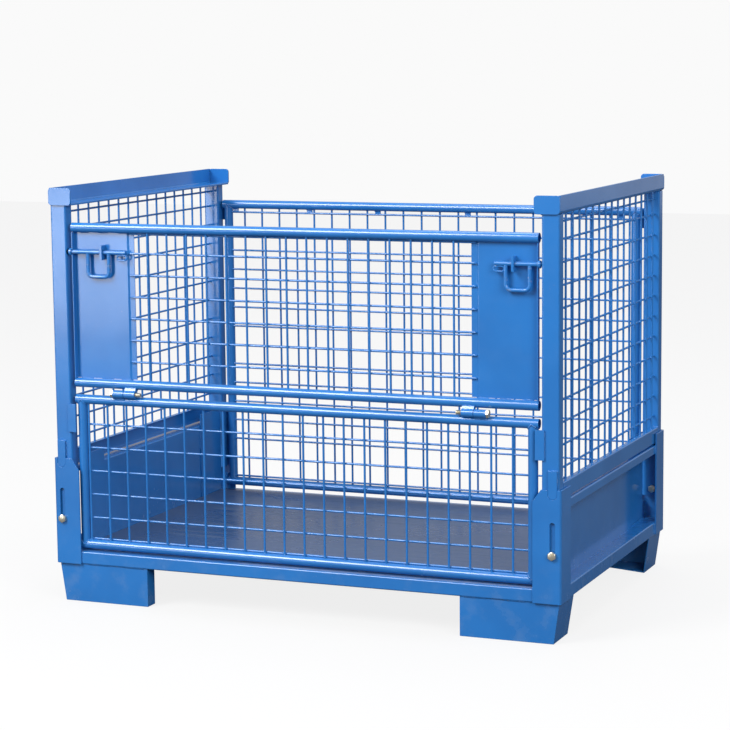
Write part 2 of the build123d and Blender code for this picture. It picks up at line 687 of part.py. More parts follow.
last_upright = PANEL_INNER - WIRE_END_SPACE
middle_out = spaced(WIRE_PITCH / 2, last_upright, WIRE_PITCH)
upper_places = [(side * x, depth(UPRIGHT_SETBACK)) for side in (-1, 1) for x in middle_out]
save(upright_wires(panel_low, panel_high, upper_places), "upper_gate_uprights")
upper_heights = spaced(GATE_TOP - UPPER_CROSS_DROP, panel_low + 2 * WIRE_END_SPACE, CROSS_PITCH)
upper_heights.append(GATE_TOP - EDGE_WIRE_RISE)
upper_half = PANEL_INNER + PANEL_STEP_WIDTH - WIRE
upper_cross = wires_along_x(-upper_half, upper_half, depth(CROSS_SETBACK), upper_heights)
save(upper_cross, "upper_gate_cross_wires")

with BuildPart() as bolt_guides:
    panel_face = depth(PANEL_SETBACK - PANEL_SHEET / 2)
    nose_y = depth(ROD_SETBACK - GUIDE_NOSE)
    for side, grip, guide in ((-1, LEFT_GRIP, LEFT_GUIDE), (1, RIGHT_GRIP, RIGHT_GUIDE)):
        guide_x = side * (POST_INNER - grip - guide)
        with BuildSketch(Plane.YZ.offset(guide_x - GUIDE_PLATE / 2)):
            with Locations((nose_y, ROD_HEIGHT)):
                Rectangle(panel_face - nose_y, GUIDE_HEIGHT, align=(Align.MIN, Align.CENTER))
            with Locations((depth(ROD_SETBACK), ROD_HEIGHT)):
                Circle(ROD_GUIDE_HOLE / 2, mode=Mode.SUBTRACT)
        extrude(amount=GUIDE_PLATE)
        with BuildSketch(Plane.YZ.offset(side * PANEL_OUTER)):
            with Locations((depth(ROD_SETBACK), ROD_HEIGHT)):
                Circle(KEEPER / 2)
                Circle(ROD_GUIDE_HOLE / 2, mode=Mode.SUBTRACT)
        extrude(amount=side * KEEPER_LENGTH)
save(bolt_guides.part, "bolt_guides")


def slide_bolt(grip, tail):
    """Right-hand rod with its hanging D grip and the small oval eye at its tail."""
    tip_x = POST_INNER - ROD_TIP_GAP
    tail_x = tip_x - tail
    outer_leg = POST_INNER - grip
    grip_low = ROD_HEIGHT - GRIP_DROP + GRIP_ROD / 2
    rod_y = depth(ROD_SETBACK)
    eye_z = ROD_HEIGHT - ROD / 2 - EYE_HEIGHT / 2 + EYE_OVERLAP
    with BuildPart() as bolt:
        with BuildSketch(Plane.YZ.offset(tail_x + EYE_SHEET)):
            with Locations((rod_y, ROD_HEIGHT)):
                Circle(ROD / 2)
        extrude(amount=tip_x - tail_x - EYE_SHEET)
        with BuildLine():
            FilletPolyline(
                (outer_leg, rod_y, ROD_HEIGHT),
                (outer_leg, rod_y, grip_low),
                (outer_leg - GRIP_SPAN, rod_y, grip_low),
                (outer_leg - GRIP_SPAN, rod_y, ROD_HEIGHT),
                radius=GRIP_BEND,
            )
        with BuildSketch(Plane.XY.offset(ROD_HEIGHT)):
            with Locations((outer_leg, rod_y)):
                Circle(GRIP_ROD / 2)
        sweep()
        with BuildSketch(Plane.XZ.offset(-rod_y - EYE_SHEET / 2)):
            with Locations((tail_x + EYE_LENGTH / 2, eye_z)):
                SlotOverall(EYE_LENGTH, EYE_HEIGHT)
                SlotOverall(EYE_LENGTH - 2 * EYE_SHEET, EYE_HEIGHT - 2 * EYE_SHEET, mode=Mode.SUBTRACT)
        extrude(amount=EYE_SHEET)
    return bolt.part


save(slide_bolt(RIGHT_GRIP, RIGHT_TAIL), "right_slide_bolt")
save(mirror(slide_bolt(LEFT_GRIP, LEFT_TAIL), about=Plane.YZ), "left_slide_bolt")

# ---------------------------------------------------------------- rear wall

rear_y = -gate_y
save(gate_tube(rear_y, GATE_TOP), "rear_wall_top_tube")
save(gate_tube(rear_y, REAR_BOTTOM), "rear_wall_bottom_tube")
save(gate_side_tubes(rear_y, REAR_BOTTOM, GATE_TOP), "rear_wall_side_tubes")
rear_places = [(-x, -depth(UPRIGHT_SETBACK)) for x in upright_xs]
save(upright_wires(REAR_BOTTOM + TUBE_R, GATE_TOP - TUBE_R, rear_places), "rear_wall_uprights")
rear_heights = spaced(GATE_TOP - REAR_EDGE_DROP, REAR_BOTTOM + TUBE_R + WIRE_END_SPACE, CROSS_PITCH)
rear_cross = wires_along_x(-cross_half, cross_half, -depth(CROSS_SETBACK), rear_heights)
save(rear_cross, "rear_wall_cross_wires")

with BuildPart() as rear_wall_tabs:
    tab_y = -depth(CROSS_SETBACK) + WIRE / 2
    tab_low = GATE_TOP - REAR_EDGE_DROP - WIRE / 2
    tab_xs = [-mesh_low - distance for distance in TAB_FROM_FIRST_WIRE]
    tab_xs.append(TUBE_R + TAB_END_GAP - SIDE_TUBE_X)
    with Locations([(x, tab_y, tab_low) for x in tab_xs]):
        Box(
            TAB_WIDTH,
            TAB_SHEET,
            GATE_TOP - TUBE_R - tab_low,
            align=(Align.CENTER, Align.MIN, Align.MIN),
        )
save(rear_wall_tabs.part, "rear_wall_tabs")
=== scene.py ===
"""Looks of a stacking wire mesh container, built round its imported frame."""
import json
import math

import bmesh
import bpy
from mathutils import Matrix, Vector

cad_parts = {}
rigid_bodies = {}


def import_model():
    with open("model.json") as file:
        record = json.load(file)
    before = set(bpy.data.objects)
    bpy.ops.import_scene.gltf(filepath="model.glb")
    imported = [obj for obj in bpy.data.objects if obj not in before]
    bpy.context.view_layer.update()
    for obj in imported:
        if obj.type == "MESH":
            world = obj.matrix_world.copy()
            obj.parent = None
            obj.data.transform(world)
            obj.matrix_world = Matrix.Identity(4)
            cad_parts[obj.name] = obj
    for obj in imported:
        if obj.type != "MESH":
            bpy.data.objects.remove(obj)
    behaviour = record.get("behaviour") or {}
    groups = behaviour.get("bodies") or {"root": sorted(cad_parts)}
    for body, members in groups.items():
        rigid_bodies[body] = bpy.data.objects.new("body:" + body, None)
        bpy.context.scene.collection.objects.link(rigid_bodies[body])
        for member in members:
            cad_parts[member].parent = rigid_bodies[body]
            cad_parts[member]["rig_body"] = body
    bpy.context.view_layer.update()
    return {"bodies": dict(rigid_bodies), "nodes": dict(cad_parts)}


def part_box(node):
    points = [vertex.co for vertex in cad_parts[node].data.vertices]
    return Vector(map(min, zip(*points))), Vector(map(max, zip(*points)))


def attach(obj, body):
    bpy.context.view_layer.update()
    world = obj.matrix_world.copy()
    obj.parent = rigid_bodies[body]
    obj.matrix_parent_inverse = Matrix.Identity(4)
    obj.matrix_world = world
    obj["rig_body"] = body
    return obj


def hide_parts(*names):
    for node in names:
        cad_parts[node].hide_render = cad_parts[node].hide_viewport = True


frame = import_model()

# Camera: a long lens at a standing viewer's height, to the right of the gate's middle.
CAMERA_PLACE = Vector((2.084, -5.043, 1.287))
CAMERA_AZIMUTH = math.radians(22.49)
CAMERA_ELEVATION = math.radians(7.90)
CAMERA_ROLL = math.radians(-0.62)
CAMERA_LENS = 113.57
back = Vector((
    math.sin(CAMERA_AZIMUTH) * math.cos(CAMERA_ELEVATION),
    -math.cos(CAMERA_AZIMUTH) * math.cos(CAMERA_ELEVATION),
    math.sin(CAMERA_ELEVATION),
))
level = Vector((math.cos(CAMERA_AZIMUTH), math.sin(CAMERA_AZIMUTH), 0))
upward = back.cross(level)
right = math.cos(CAMERA_ROLL) * level + math.sin(CAMERA_ROLL) * upward
camera_data = bpy.data.cameras.new("camera")
camera_data.lens = CAMERA_LENS
camera_data.clip_end = 60
camera = bpy.data.objects.new("camera", camera_data)
camera.matrix_world = Matrix((right, back.cross(right), back)).transposed().to_4x4()
camera.location = CAMERA_PLACE
bpy.context.scene.collection.objects.link(camera)
bpy.context.scene.camera = camera

# ---------------------------------------------------------------- base
# The base is folded sheet, welded into one frame and sprayed with gloss blue paint.
# The paint has a faint orange peel, and a little dust and a few chips low down.
PAINT_BLUE = (0.020, 0.175, 0.52, 1)
PAINT_DEEP = (0.015, 0.150, 0.46, 1)
PAINT_DUST = (0.20, 0.30, 0.46, 1)
BARE_STEEL = (0.30, 0.31, 0.33, 1)
PAINT_GLOSS = 0.20
CHIP_SHARE = 0.70


def add_node(tree, kind, settings=None, sockets=None):
    """A node of this kind: its settings are made first, then its sockets are set or linked."""
    node = tree.nodes.new(kind)
    for name, value in (settings or {}).items():
        setattr(node, name, value)
    for key, value in (sockets or {}).items():
        if isinstance(value, Channel):
            value = value.socket
        if isinstance(value, bpy.types.NodeSocket):
            tree.links.new(value, node.inputs[key])
        else:
            node.inputs[key].default_value = value
    return node


class Channel:
    """A number inside a material, so that its maths reads as plain expressions."""

    def __init__(self, socket):
        self.socket = socket

    def maths(self, operation, first, second):
        """One Math node on two numbers or channels."""
        sockets = {0: first, 1: second}
        node = add_node(self.socket.id_data, "ShaderNodeMath", {"operation": operation}, sockets)
        return Channel(node.outputs[0])

    def __add__(self, other):
        return self.maths("ADD", self, other)

    def __sub__(self, other):
        return self.maths("SUBTRACT", self, other)

    def __rsub__(self, other):
        return self.maths("SUBTRACT", other, self)

    def __mul__(self, other):
        return self.maths("MULTIPLY", self, other)

    __radd__ = __add__
    __rmul__ = __mul__

    def between(self, low, high):
        """0 below low, 1 above high and a smooth step from one to the other."""
        sockets = {"Value": self, "From Min": low, "From Max": high}
        settings = {"interpolation_type": "SMOOTHSTEP"}
        node = add_node(self.socket.id_data, "ShaderNodeMapRange", settings, sockets)
        return Channel(node.outputs[0])


class Finish:
    """A material under construction: its place, its noises, its mixes and its one shader."""

    def __init__(self, name):
        self.material = bpy.data.materials.new(name)
        self.material.use_nodes = True
        self.tree = self.material.node_tree
        self.shader = self.tree.nodes["Principled BSDF"]
        self.place = add_node(self.tree, "ShaderNodeTexCoord").outputs["Object"]

    def height(self):
        """Height above the ground."""
        return Channel(add_node(self.tree, "ShaderNodeSeparateXYZ", None, {0: self.place}).outputs["Z"])

    def noise(self, scale, detail=2.0, stretch=(1, 1, 1)):
        """Soft noise from 0 to 1, so many lumps to the metre."""
        mapping = add_node(self.tree, "ShaderNodeMapping", None, {"Vector": self.place, "Scale": stretch})
        sockets = {"Vector": mapping.outputs[0], "Scale": scale, "Detail": detail}
        return Channel(add_node(self.tree, "ShaderNodeTexNoise", None, sockets).outputs["Fac"])

    def mix(self, share, first, second):
        """Colour between two colours."""
        sockets = {0: share, 6: first, 7: second}
        return add_node(self.tree, "ShaderNodeMix", {"data_type": "RGBA"}, sockets).outputs[2]

    def set(self, **sockets):
        """Set or link the shader's sockets by name, with underscores for spaces."""
        for key, value in sockets.items():
            socket = self.shader.inputs[key.replace("_", " ")]
            value = value.socket if isinstance(value, Channel) else value
            if isinstance(value, bpy.types.NodeSocket):
                self.tree.links.new(value, socket)
            else:
                socket.default_value = value

    def bump(self, height, depth):
        """Raise the surface by height times depth, in metres."""
        sockets = {"Height": height, "Distance": depth, "Strength": 1.0}
        self.set(Normal=add_node(self.tree, "ShaderNodeBump", None, sockets).outputs[0])


def paint(name, wear=1.0):
    """Gloss blue paint. Wear scales its chips and its dust."""
    finish = Finish(name)
    broad = finish.noise(5.0, 3.0).between(0.35, 0.65)
    colour = finish.mix(broad, PAINT_BLUE, PAINT_DEEP)
    low_down = 1 - finish.height().between(0.02, 0.22)
    dust = finish.noise(26.0, 6.0).between(0.45, 0.75) * (low_down * 0.45 + 0.06) * wear
    colour = finish.mix(dust, colour, PAINT_DUST)
    speck = finish.noise(170.0, 3.0)
    patch = finish.noise(9.0, 2.0).between(0.52, 0.62)
    chips = speck.between(CHIP_SHARE, CHIP_SHARE + 0.02) * patch * (low_down * 0.7 + 0.3) * wear
    colour = finish.mix(chips, colour, BARE_STEEL)
    peel = finish.noise(420.0, 1.0) * 0.00005
    sag = finish.noise(24.0, 1.0) * 0.00018
    finish.set(
        Base_Color=colour,
        Metallic=chips * 0.6,
        Roughness=dust * 0.35 + chips * 0.3 + broad * 0.06 + PAINT_GLOSS,
        Coat_Weight=0.5,
        Coat_Roughness=0.1,
    )
    finish.bump(peel + sag - chips * 0.00012, 1.0)
    return finish.material


def link_piece(name, mesh, node_names, material):
    """Put a finished mesh in the scene, riding with the CAD nodes that it stands for."""
    piece = bpy.data.objects.new(name, mesh)
    bpy.context.scene.collection.objects.link(piece)
    if material:
        mesh.materials.clear()
        mesh.materials.append(material)
    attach(piece, frame["nodes"][node_names[0]]["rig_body"])
    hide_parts(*node_names)
    return piece


def sheet_piece(node, material, edge):
    """A folded or welded piece with the small round edge that shearing and paint leave on it."""
    mesh = frame["nodes"][node].data.copy()
    shell = bmesh.new()
    shell.from_mesh(mesh)
    bmesh.ops.remove_doubles(shell, verts=shell.verts, dist=2e-6)
    flat = math.radians(0.5)
    bmesh.ops.dissolve_limit(shell, angle_limit=flat, verts=shell.verts, edges=shell.edges)
    shell.to_mesh(mesh)
    shell.free()
    mesh.shade_smooth()
    piece = link_piece(node + "_painted", mesh, [node], material)
    bevel = piece.modifiers.new("edge", "BEVEL")
    bevel.width = edge
    bevel.segments = 2
    bevel.limit_method = "ANGLE"
    bevel.angle_limit = math.radians(35)
    level = piece.modifiers.new("flat_faces", "WEIGHTED_NORMAL")
    level.weight = 100
    level.keep_sharp = True
    return piece


frame_paint = paint("blue_paint", 0.35)
CORNERS = [end + side for end in ("front_", "rear_") for side in ("left_", "right_")]
for corner in CORNERS:
    sheet_piece(corner + "corner_plate", frame_paint, 0.0008)
    sheet_piece(corner + "foot", frame_paint, 0.0009)
for node in ("front_rail", "rear_rail", "left_side_panel", "right_side_panel"):
    sheet_piece(node, frame_paint, 0.0006)
for node in ("inner_corner_plates", "gate_pivot_plates", "floor_bearers", "gate_pivot_pins"):
    sheet_piece(node, frame_paint, 0.0005)

# The floor is one thin sheet with a harder, thinner coat. It is scuffed along the length
# where goods are dragged over it, so it mirrors the mesh unevenly.
FLOOR_BLUE = (0.030, 0.070, 0.170, 1)
FLOOR_SCUFF = (0.085, 0.125, 0.205, 1)


def floor_finish():
    """Semi-gloss grey-blue coat with long scuffs and smears."""
    finish = Finish("floor_paint")
    scuffs = finish.noise(60.0, 5.0, (0.12, 1, 1)).between(0.5, 0.72)
    smears = finish.noise(3.5, 4.0).between(0.35, 0.7)
    finish.set(
        Base_Color=finish.mix(scuffs * 0.4 + smears * 0.25, FLOOR_BLUE, FLOOR_SCUFF),
        Roughness=scuffs * 0.14 + smears * 0.12 + 0.24,
        Specular_IOR_Level=0.6,
    )
    finish.bump(finish.noise(2.2, 1.0) * 0.003 + finish.noise(240.0, 2.0) * 0.00004, 1.0)
    return finish.material


sheet_piece("floor_plate", floor_finish(), 0.0006)

# ---------------------------------------------------------------- side walls
# Each wall is two square posts, an angle to stack on, a folded bottom rail and a welded mesh.
# It locks on two lugs and hangs on two pivot bolts.
for side in ("left_", "right_"):
    for node in ("front_post", "rear_post", "stacking_rail", "rail_end_plates"):
        sheet_piece(side + node, frame_paint, 0.0008)
    for node in ("bottom_rail", "locking_lugs", "stop_plates"):
        sheet_piece(side + node, frame_paint, 0.0005)

# Gates and rear wall: round tube frames, two sheet panels and two pairs of hinge barrels.
for node in frame["nodes"]:
    if node.endswith("_tube") or node.endswith("_tubes"):
        sheet_piece(node, frame_paint, 0.0005)
for node in ("lower_gate_knuckles", "upper_gate_knuckles", "bolt_guides", "rear_wall_tabs"):
    sheet_piece(node, frame_paint, 0.0005)
for node in ("upper_gate_left_panel", "upper_gate_right_panel"):
    sheet_piece(node, frame_paint, 0.0004)

# ---------------------------------------------------------------- wire mesh
# Drawn 5 mm wire, resistance welded at every crossing. The wires of one direction lie in one
# plane; at a crossing they are pressed together and a little metal squeezes out.
WIRE_SIDES = 16
WELD_RADIUS = 0.0030
WELD_FLATNESS = 0.6
WELD_UNEVEN = 0.25


def solid_boxes(node):
    """Lowest and highest corner of each separate solid in a CAD node."""
    shell = bmesh.new()
    shell.from_mesh(frame["nodes"][node].data)
    bmesh.ops.remove_doubles(shell, verts=shell.verts, dist=2e-6)
    waiting = set(shell.verts)
    boxes = []
    while waiting:
        front = [waiting.pop()]
        reached = list(front)
        while front:
            vertex = front.pop()
            for edge in vertex.link_edges:
                other = edge.other_vert(vertex)
                if other in waiting:
                    waiting.remove(other)
                    front.append(other)
                    reached.append(other)
        low = Vector(min(v.co[i] for v in reached) for i in range(3))
        high = Vector(max(v.co[i] for v in reached) for i in range(3))
        boxes.append((low, high))
    shell.free()
    return sorted(boxes, key=lambda box: tuple(box[0]))


def new_tree(name, inputs):
    """Empty geometry tree with a geometry input, the named inputs, and its two end nodes."""
    tree = bpy.data.node_groups.new(name, "GeometryNodeTree")
    tree.interface.new_socket("Geometry", in_out="INPUT", socket_type="NodeSocketGeometry")
    for title, kind in inputs.items():
        tree.interface.new_socket(title, in_out="INPUT", socket_type="NodeSocket" + kind)
    tree.interface.new_socket("Geometry", in_out="OUTPUT", socket_type="NodeSocketGeometry")
    return tree, add_node(tree, "NodeGroupInput"), add_node(tree, "NodeGroupOutput")


def finish_tree(tree, group_input, group_output, geometry):
    """End a tree with real geometry, smooth faces and its material."""
    real = add_node(tree, "GeometryNodeRealizeInstances", None, {"Geometry": geometry})
    smooth = add_node(tree, "GeometryNodeSetShadeSmooth", None, {"Geometry": real.outputs[0]})
    sockets = {"Geometry": smooth.outputs[0], "Material": group_input.outputs["Material"]}
    painted = add_node(tree, "GeometryNodeSetMaterial", None, sockets)
    tree.links.new(painted.outputs[0], group_output.inputs[0])
    return tree


def grown(tree, mesh, **inputs):
    """The plain mesh that a tree makes from a starting mesh and its named inputs."""
    seed = bpy.data.objects.new("seed", mesh)
    bpy.context.scene.collection.objects.link(seed)
    modifier = seed.modifiers.new("tree", "NODES")
    modifier.node_group = tree
    for item in tree.interface.items_tree:
        title = item.name.replace(" ", "_")
        if item.in_out == "INPUT" and title in inputs:
            modifier[item.identifier] = inputs[title]
    evaluated = seed.evaluated_get(bpy.context.evaluated_depsgraph_get())
    result = bpy.data.meshes.new_from_object(evaluated)
    bpy.data.objects.remove(seed)
    return result


def line_mesh(lines):
    """Edges through each list of points."""
    points, edges = [], []
    for line in lines:
        edges += [(len(points) + i, len(points) + i + 1) for i in range(len(line) - 1)]
        points += line
    mesh = bpy.data.meshes.new("lines")
    mesh.from_pydata([tuple(point) for point in points], edges, [])
    return mesh


def drawn_wire_tree():
    """Round wire of one radius along every edge."""
    tree, start, end = new_tree("drawn_wire", {"Radius": "Float", "Sides": "Int", "Material": "Material"})
    path = add_node(tree, "GeometryNodeMeshToCurve", None, {"Mesh": start.outputs["Geometry"]})
    sockets = {"Resolution": start.outputs["Sides"], "Radius": start.outputs["Radius"]}
    profile = add_node(tree, "GeometryNodeCurvePrimitiveCircle", None, sockets)
    sockets = {"Curve": path.outputs[0], "Profile Curve": profile.outputs[0], "Fill Caps": True}
    wire = add_node(tree, "GeometryNodeCurveToMesh", None, sockets)
    return finish_tree(tree, start, end, wire.outputs[0])


def squeezed_metal_tree():
    """A small flattened nugget on every point, each a little different."""
    inputs = {"Radius": "Float", "Flatness": "Vector", "Uneven": "Float"}
    inputs.update({"Seed": "Int", "Material": "Material"})
    tree, start, end = new_tree("squeezed_metal", inputs)
    sockets = {"Radius": start.outputs["Radius"], "Subdivisions": 2}
    ball = add_node(tree, "GeometryNodeMeshIcoSphere", None, sockets)
    thinned = {"Geometry": ball.outputs[0], "Scale": start.outputs["Flatness"]}
    nugget = add_node(tree, "GeometryNodeTransform", None, thinned)
    sockets = {0: 1.0, 1: start.outputs["Uneven"]}
    least = add_node(tree, "ShaderNodeMath", {"operation": "SUBTRACT"}, sockets)
    sockets = {2: least.outputs[0], 3: 1.0, "Seed": start.outputs["Seed"]}
    size = add_node(tree, "FunctionNodeRandomValue", {"data_type": "FLOAT"}, sockets)
    sockets = {"Points": start.outputs["Geometry"], "Instance": nugget.outputs[0], "Scale": size.outputs[1]}
    spots = add_node(tree, "GeometryNodeInstanceOnPoints", None, sockets)
    return finish_tree(tree, start, end, spots.outputs[0])


drawn_wire = drawn_wire_tree()
squeezed_metal = squeezed_metal_tree()
wire_paint = paint("wire_paint", 0.2)
MESHES = {
    "left_wall": ("left_wall_uprights", "left_wall_cross_wires", 0),
    "right_wall": ("right_wall_uprights", "right_wall_cross_wires", 0),
    "lower_gate": ("lower_gate_uprights", "lower_gate_cross_wires", 1),
    "upper_gate": ("upper_gate_uprights", "upper_gate_cross_wires", 1),
    "rear_wall": ("rear_wall_uprights", "rear_wall_cross_wires", 1),
}
weld_paint = paint("weld_paint", 0.6)


def wire_piece(node):
    """Replace one node of straight wires and return their boxes."""
    boxes = solid_boxes(node)
    lines = []
    for low, high in boxes:
        middle = (low + high) / 2
        longest = max(range(3), key=lambda i: high[i] - low[i])
        ends = [middle.copy(), middle.copy()]
        ends[0][longest], ends[1][longest] = low[longest], high[longest]
        lines.append(ends)
    radius = min(boxes[0][1][i] - boxes[0][0][i] for i in range(3)) / 2
    mesh = grown(drawn_wire, line_mesh(lines), Radius=radius, Sides=WIRE_SIDES, Material=wire_paint)
    name = node.replace("_uprights", "_upright_wire").replace("_wires", "_wire")
    piece = link_piece(name, mesh, [node], None)
    edge = piece.modifiers.new("cut_ends", "EDGE_SPLIT")
    edge.split_angle = math.radians(50)
    return boxes


def weld_piece(name, body, mesh):
    """Put painted welds in the scene, riding with one body."""
    piece = bpy.data.objects.new(name, mesh)
    bpy.context.scene.collection.objects.link(piece)
    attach(piece, body)


for seed, (body, (uprights, crosses, across)) in enumerate(MESHES.items()):
    upright_boxes = wire_piece(uprights)
    cross_boxes = wire_piece(crosses)
    crossings = []
    for upright_low, upright_high in upright_boxes:
        for cross_low, cross_high in cross_boxes:
            point = (upright_low + upright_high) / 2
            point.z = (cross_low.z + cross_high.z) / 2
            point[across] = (point[across] + (cross_low[across] + cross_high[across]) / 2) / 2
            crossings.append([point])
    flatness = [1.0, 1.0, 1.0]
    flatness[across] = WELD_FLATNESS
    nuggets = grown(
        squeezed_metal,
        line_mesh(crossings),
        Radius=WELD_RADIUS,
        Flatness=flatness,
        Uneven=WELD_UNEVEN,
        Seed=seed,
        Material=wire_paint,
    )
    weld_piece(body + "_mesh_welds", body, nuggets)

# ---------------------------------------------------------------- weld beads
# The frame is MIG welded by hand: short beads of overlapping ripples, painted over with the rest.
# Ends of the gate wires have one small dab each.
RIPPLE_PITCH = 0.0018
BEAD_RADIUS = 0.0020
DAB_RADIUS = 0.0034
DAB_FLATNESS = (1.0, 1.0, 0.7)
DAB_UNEVEN = 0.3
RIPPLE_SQUAT = (1.0, 1.0, 0.75)
RIPPLE_SIZES = (0.8, 1.08)
BEAD_INSET = 0.003
EDGE_INSET = 0.001
FOOT_BEADS = ((0.01, 0.06), (0.10, 0.15))
LIP_BEAD = 0.018
INNER_PLATE_LENGTH = 0.115
INNER_LOW_BEAD = (0.01, 0.05)
INNER_HIGH_BEAD = (0.09, 0.04)
LUG_BEAD_START = 0.006
GATE_STOP_BEAD = (0.408, 0.465)
REAR_STOP_BEAD = (0.842, 0.882)


def rippled_bead_tree():
    """Overlapping ripples along every edge, turned along it and uneven in size."""
    inputs = {"Radius": "Float", "Pitch": "Float", "Seed": "Int", "Material": "Material"}
    tree, start, end = new_tree("rippled_bead", inputs)
    path = add_node(tree, "GeometryNodeMeshToCurve", None, {"Mesh": start.outputs["Geometry"]})
    settings = {"mode": "LENGTH"}
    sockets = {"Curve": path.outputs[0], "Length": start.outputs["Pitch"]}
    steps = add_node(tree, "GeometryNodeResampleCurve", settings, sockets)
    tangent = add_node(tree, "GeometryNodeInputTangent")
    sockets = {"Vector": tangent.outputs[0]}
    turn = add_node(tree, "FunctionNodeAlignRotationToVector", {"axis": "Z"}, sockets)
    sockets = {"Segments": 8, "Rings": 5, "Radius": start.outputs["Radius"]}
    ball = add_node(tree, "GeometryNodeMeshUVSphere", None, sockets)
    sockets = {"Geometry": ball.outputs[0], "Scale": RIPPLE_SQUAT}
    squat = add_node(tree, "GeometryNodeTransform", None, sockets)
    sockets = {2: RIPPLE_SIZES[0], 3: RIPPLE_SIZES[1], "Seed": start.outputs["Seed"]}
    size = add_node(tree, "FunctionNodeRandomValue", {"data_type": "FLOAT"}, sockets)
    sockets = {
        "Points": steps.outputs[0],
        "Instance": squat.outputs[0],
        "Rotation": turn.outputs[0],
        "Scale": size.outputs[1],
    }
    ripples = add_node(tree, "GeometryNodeInstanceOnPoints", None, sockets)
    return finish_tree(tree, start, end, ripples.outputs[0])


rippled_bead = rippled_bead_tree()
beads = {body: [] for body in frame["bodies"]}


def bead(body, *points):
    """A weld bead through some points."""
    beads[body].append([Vector(point) for point in points])


def mirrored_bead(body_of_side, start, *changes):
    """One bead on each side, from a start point on the right, with some axes changed at its end."""
    for name, side in (("right", 1), ("left", -1)):
        points = [dict(zip("xyz", start)), dict(zip("xyz", start))]
        for axis, value in changes:
            points[1][axis] = value
        body = body_of_side.format(side=name)
        bead(body, *[(side * point["x"], point["y"], point["z"]) for point in points])


# Base: rail to corner plate, foot to rail, side panel lip to corner plate, inner plates to the floor.
plate_low, plate_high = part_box("front_right_corner_plate")
rail_low, rail_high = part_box("front_rail")
foot_low, foot_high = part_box("front_right_foot")
lip_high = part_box("right_side_panel")[1]
inner_low, inner_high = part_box("inner_corner_plates")
floor_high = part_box("floor_plate")[1]
rail_start = rail_low.z + BEAD_INSET
rail_stop = ("z", rail_high.z - BEAD_INSET)
for end in (1, -1):
    rail_face = end * rail_low.y
    mirrored_bead("base", (plate_low.x, rail_face, rail_start), rail_stop)
    foot_face = end * foot_low.y
    for first, last in FOOT_BEADS:
        mirrored_bead("base", (foot_low.x + first, foot_face, foot_high.z), ("x", foot_low.x + last))
    lip_end = end * plate_high.y
    mirrored_bead("base", (lip_high.x, lip_end, rail_start), rail_stop)
    lip_top = ("z", lip_high.z - EDGE_INSET)
    mirrored_bead("base", (lip_high.x, lip_end, lip_high.z - LIP_BEAD), lip_top)
    inner_end = end * (inner_low.y + INNER_PLATE_LENGTH)
    first, last = INNER_LOW_BEAD
    mirrored_bead("base", (inner_high.x, inner_end, floor_high.z + first), ("z", floor_high.z + last))
    first, last = INNER_HIGH_BEAD
    mirrored_bead("base", (inner_high.x, inner_end, inner_high.z - first), ("z", inner_high.z - last))

# Side walls: lugs and stop plates to the posts, rails to the posts, end plates to the rails.
WALL = "{side}_wall"
post_low, post_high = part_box("right_front_post")
lug_low, lug_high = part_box("right_locking_lugs")
stop_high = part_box("right_stop_plates")[1]
lower_rail_low, lower_rail_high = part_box("right_bottom_rail")
for end in (1, -1):
    post_face = end * post_low.y
    post_back = end * post_high.y
    for x in (lug_low.x, lug_high.x):
        mirrored_bead(WALL, (x, post_face, plate_high.z + LUG_BEAD_START), ("z", lug_high.z))
    mirrored_bead(WALL, (lug_low.x, post_face, lug_high.z), ("x", lug_high.x))
    mirrored_bead(WALL, (post_low.x, post_back, post_high.z), ("x", post_high.x))
    mirrored_bead(WALL, (post_low.x, post_face, post_high.z), ("y", post_back))
    rail_end = end * lower_rail_low.y
    for z in (lower_rail_low.z, lower_rail_high.z):
        across_rail = ("x", lower_rail_high.x - EDGE_INSET)
        mirrored_bead(WALL, (lower_rail_low.x + EDGE_INSET, rail_end, z), across_rail)
for stop_face, (first, last) in ((post_low.y, GATE_STOP_BEAD), (-post_low.y, REAR_STOP_BEAD)):
    mirrored_bead(WALL, (stop_high.x, stop_face, first), ("z", last))

# Gates and rear wall: a ring round each coped tube end, ears to tubes, stitches along the panels.
TUBE_NODES = {
    "lower_gate": ("lower_gate_bottom_tube", "lower_gate_top_tube", "lower_gate_side_tubes"),
    "rear_wall": ("rear_wall_bottom_tube", "rear_wall_top_tube", "rear_wall_side_tubes"),
}
RING_STEPS = 28
RING_LIFT = 0.0001
for body, (bottom, top, sides) in TUBE_NODES.items():
    for low, high in solid_boxes(sides):
        centre = (low + high) / 2
        radius = (high.x - low.x) / 2 + RING_LIFT
        for node, facing in ((bottom, 1), (top, -1)):
            tube_low, tube_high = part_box(node)
            ring = []
            for step in range(RING_STEPS + 1):
                turn = math.tau * step / RING_STEPS
                lift = math.sqrt(max(radius ** 2 - (radius * math.sin(turn)) ** 2, 0))
                z = (tube_low.z + tube_high.z) / 2 + facing * lift
                x = centre.x + radius * math.cos(turn)
                ring.append((x, centre.y + radius * math.sin(turn), z))
            bead(body, *ring)
HINGE_LINE = Vector((0, -0.411, 0.497))
EAR_SPREAD = 0.5
HINGED_TUBES = {"lower_gate": "lower_gate_top_tube", "upper_gate": "upper_gate_bottom_tube"}
for body, tube in HINGED_TUBES.items():
    tube_low, tube_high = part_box(tube)
    tube_centre = (tube_low + tube_high) / 2
    tube_radius = (tube_high.z - tube_low.z) / 2
    hinge = HINGE_LINE - tube_centre
    lean = math.atan2(hinge.z, hinge.y)
    for low, high in solid_boxes(body + "_knuckles"):
        for spread in (-EAR_SPREAD, EAR_SPREAD):
            y = tube_centre.y + tube_radius * math.cos(lean + spread)
            z = tube_centre.z + tube_radius * math.sin(lean + spread)
            bead(body, (low.x + EDGE_INSET, y, z), (high.x - EDGE_INSET, y, z))
STITCH = 0.022
